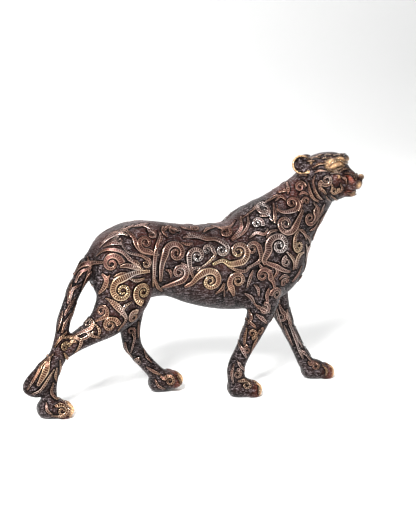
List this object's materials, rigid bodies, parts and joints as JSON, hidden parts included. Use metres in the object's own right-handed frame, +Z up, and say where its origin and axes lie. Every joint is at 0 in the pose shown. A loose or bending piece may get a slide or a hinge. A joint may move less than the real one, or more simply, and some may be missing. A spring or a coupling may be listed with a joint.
{
  "type": "cast brass leopard figurine",
  "caption": "Walking leopard cast in one piece of brass, head turned to its right, with scrolls in relief over its coat.",
  "frame": {"origin": "middle of the casting's length and width, on the surface that the soles stand on", "axes": "+X towards the head, +Y to the animal's left, +Z up"},
  "size_m": [0.328, 0.07, 0.2273],
  "materials": {
    "aged_brass": "dark brown patina in the ground, copper-brown raised scrolls, polished gold edges, toes, ear rims, eyes and nose"
  },
  "bodies": {
    "root": {"leopard": "aged_brass"}
  },
  "joints": []
}
